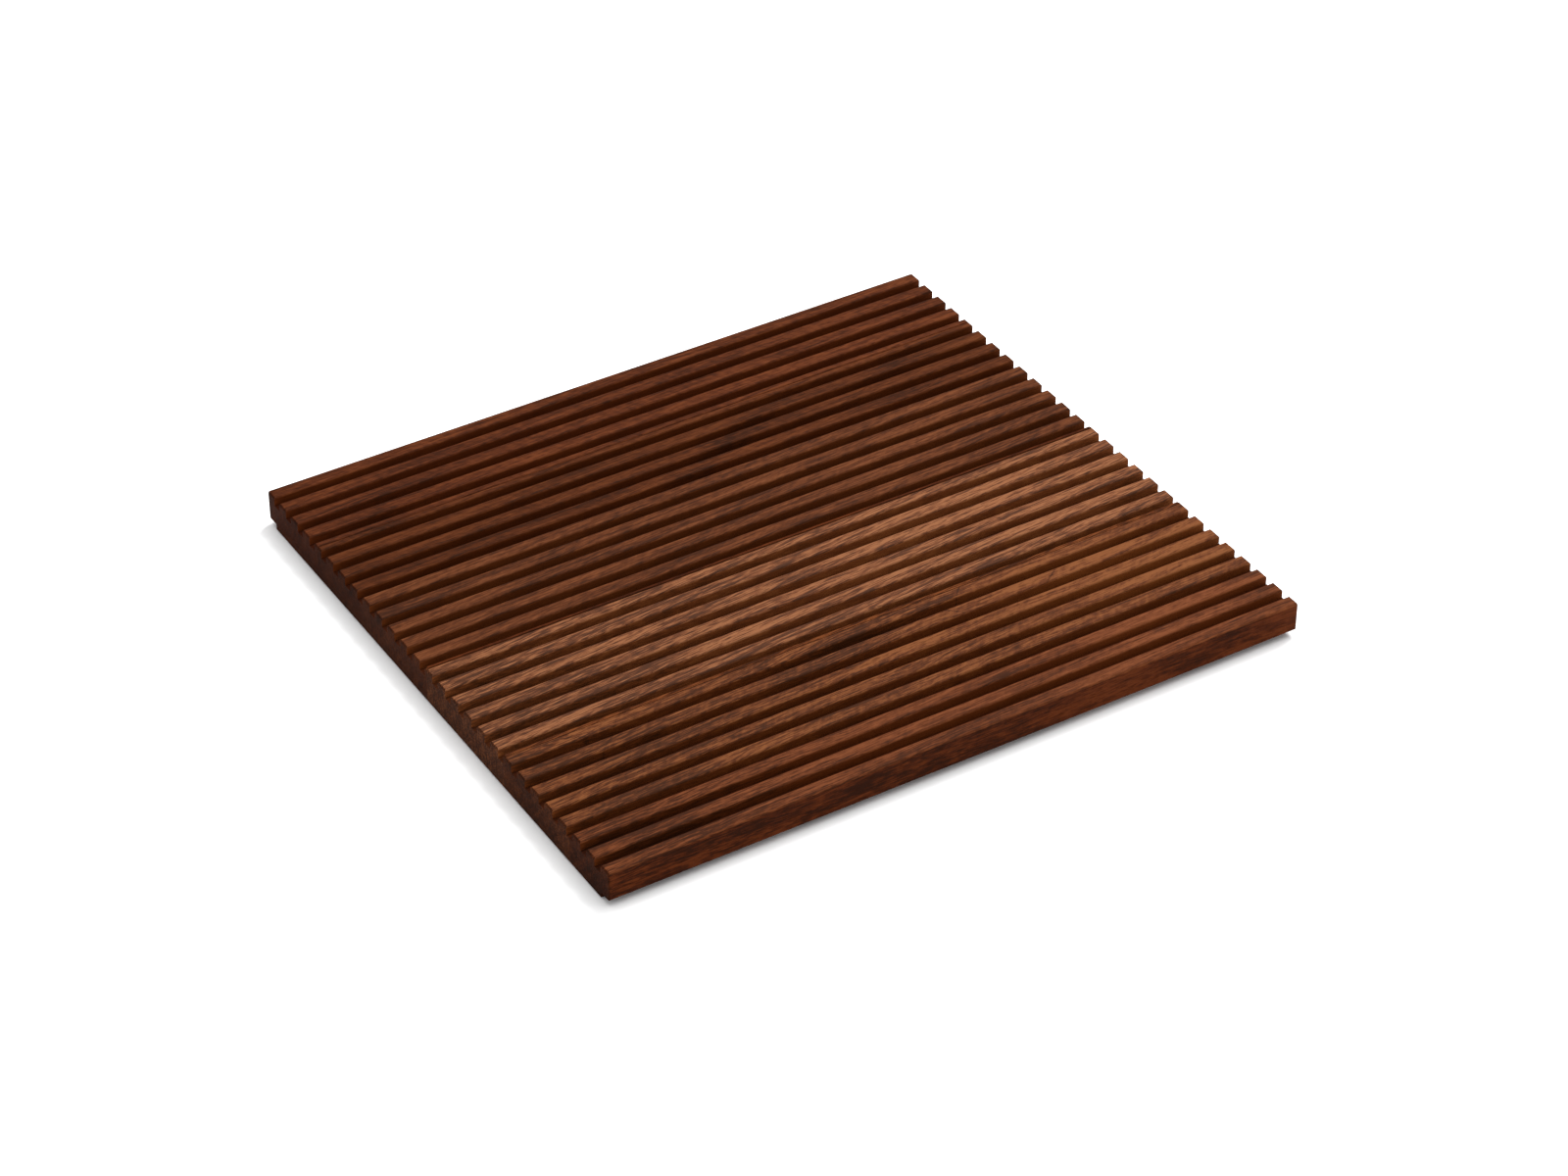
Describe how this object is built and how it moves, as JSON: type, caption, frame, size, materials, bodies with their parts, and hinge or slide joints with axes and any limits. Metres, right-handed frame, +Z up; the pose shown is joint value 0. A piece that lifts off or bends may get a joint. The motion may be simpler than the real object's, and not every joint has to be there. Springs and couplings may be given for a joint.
{
  "type": "bath mat",
  "caption": "Rigid wooden bath mat: a walnut panel glued up from boards, with drainage grooves between ribs on top and small round non-slip feet.",
  "frame": {"origin": "centre of the footprint, on the surface that the feet stand on", "axes": "+X along the grain and the ribs, +Y across the ribs, +Z up"},
  "size_m": [0.5636, 0.5064, 0.0296],
  "materials": {
    "walnut_reddish": "oiled satin",
    "walnut_brown": "oiled satin",
    "walnut_orange": "oiled satin",
    "walnut_pale": "oiled satin",
    "walnut_mottled": "oiled satin",
    "walnut_pinkish": "oiled satin",
    "silicone_foot": "matte"
  },
  "bodies": {
    "root": {"board_back": "walnut_reddish", "board_back_inner": "walnut_brown", "board_middle_back": "walnut_orange", "board_middle_front": "walnut_pale", "board_front_inner": "walnut_mottled", "board_front": "walnut_pinkish", "foot_back_left": "silicone_foot", "foot_back_middle": "silicone_foot", "foot_back_right": "silicone_foot", "foot_front_left": "silicone_foot", "foot_front_middle": "silicone_foot", "foot_front_right": "silicone_foot"}
  },
  "joints": []
}
